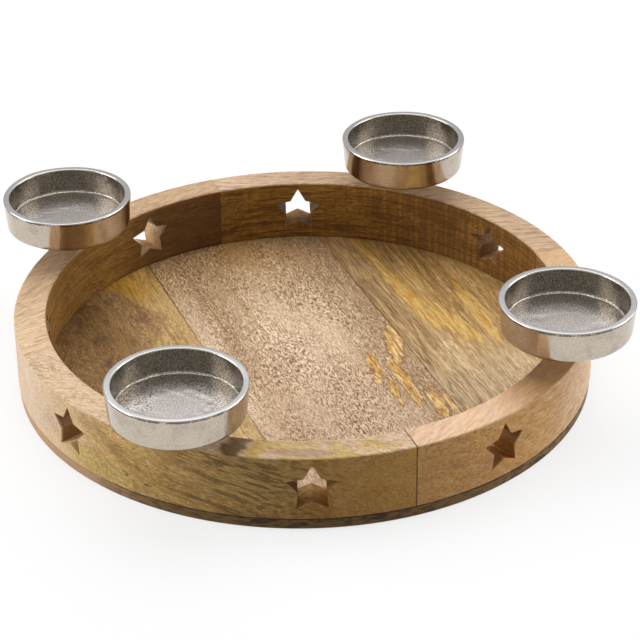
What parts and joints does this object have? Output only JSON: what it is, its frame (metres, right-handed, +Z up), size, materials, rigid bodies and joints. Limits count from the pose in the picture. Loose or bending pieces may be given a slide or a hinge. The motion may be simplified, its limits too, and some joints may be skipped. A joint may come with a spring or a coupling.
{
  "type": "advent candle holder",
  "caption": "Round wooden tray with star cut-outs in its ring and cast metal candle dishes on studs above the rim, for pillar candles and table decoration.",
  "frame": {"origin": "centre of the tray's underside", "axes": "+Z up, the base planks run along Y, the ring's joints lie on the X and Y axes and the dishes near the diagonals"},
  "size_m": [0.35, 0.35, 0.0821],
  "materials": {
    "ring_wood": "satin lacquered mango wood",
    "base_wood": "satin lacquered mango wood planks",
    "dowel_wood": "plain beech",
    "cast_dish": "polished rim, satin outside, raw cast inside",
    "steel": "zinc plated"
  },
  "bodies": {
    "tray": {"ring_back_right": "ring_wood", "ring_back_left": "ring_wood", "ring_front_left": "ring_wood", "ring_front_right": "ring_wood", "base_plank_left": "base_wood", "base_plank_middle": "base_wood", "base_plank_right": "base_wood", "ring_dowels": "dowel_wood", "base_screws": "steel", "stud_back_right": "steel", "stud_back_left": "steel", "stud_front_left": "steel", "stud_front_right": "steel", "washer_back_right": "steel", "washer_back_left": "steel", "washer_front_left": "steel", "washer_front_right": "steel"},
    "dish_back_right": {"dish_back_right": "cast_dish"},
    "dish_back_left": {"dish_back_left": "cast_dish"},
    "dish_front_left": {"dish_front_left": "cast_dish"},
    "dish_front_right": {"dish_front_right": "cast_dish"}
  },
  "joints": [
    {"name": "dish_back_right_turn", "type": "hinge", "parent": "tray", "child": "dish_back_right", "pos_m": [0.11528, 0.11875, 0.047], "axis": [0, 0, 1], "range_deg": [0, 360]},
    {"name": "dish_back_left_turn", "type": "hinge", "parent": "tray", "child": "dish_back_left", "pos_m": [-0.11202, 0.12182, 0.047], "axis": [0, 0, 1], "range_deg": [0, 360]},
    {"name": "dish_front_left_turn", "type": "hinge", "parent": "tray", "child": "dish_front_left", "pos_m": [-0.11764, -0.11641, 0.047], "axis": [0, 0, 1], "range_deg": [0, 360]},
    {"name": "dish_front_right_turn", "type": "hinge", "parent": "tray", "child": "dish_front_right", "pos_m": [0.11945, -0.11455, 0.047], "axis": [0, 0, 1], "range_deg": [0, 360]}
  ]
}
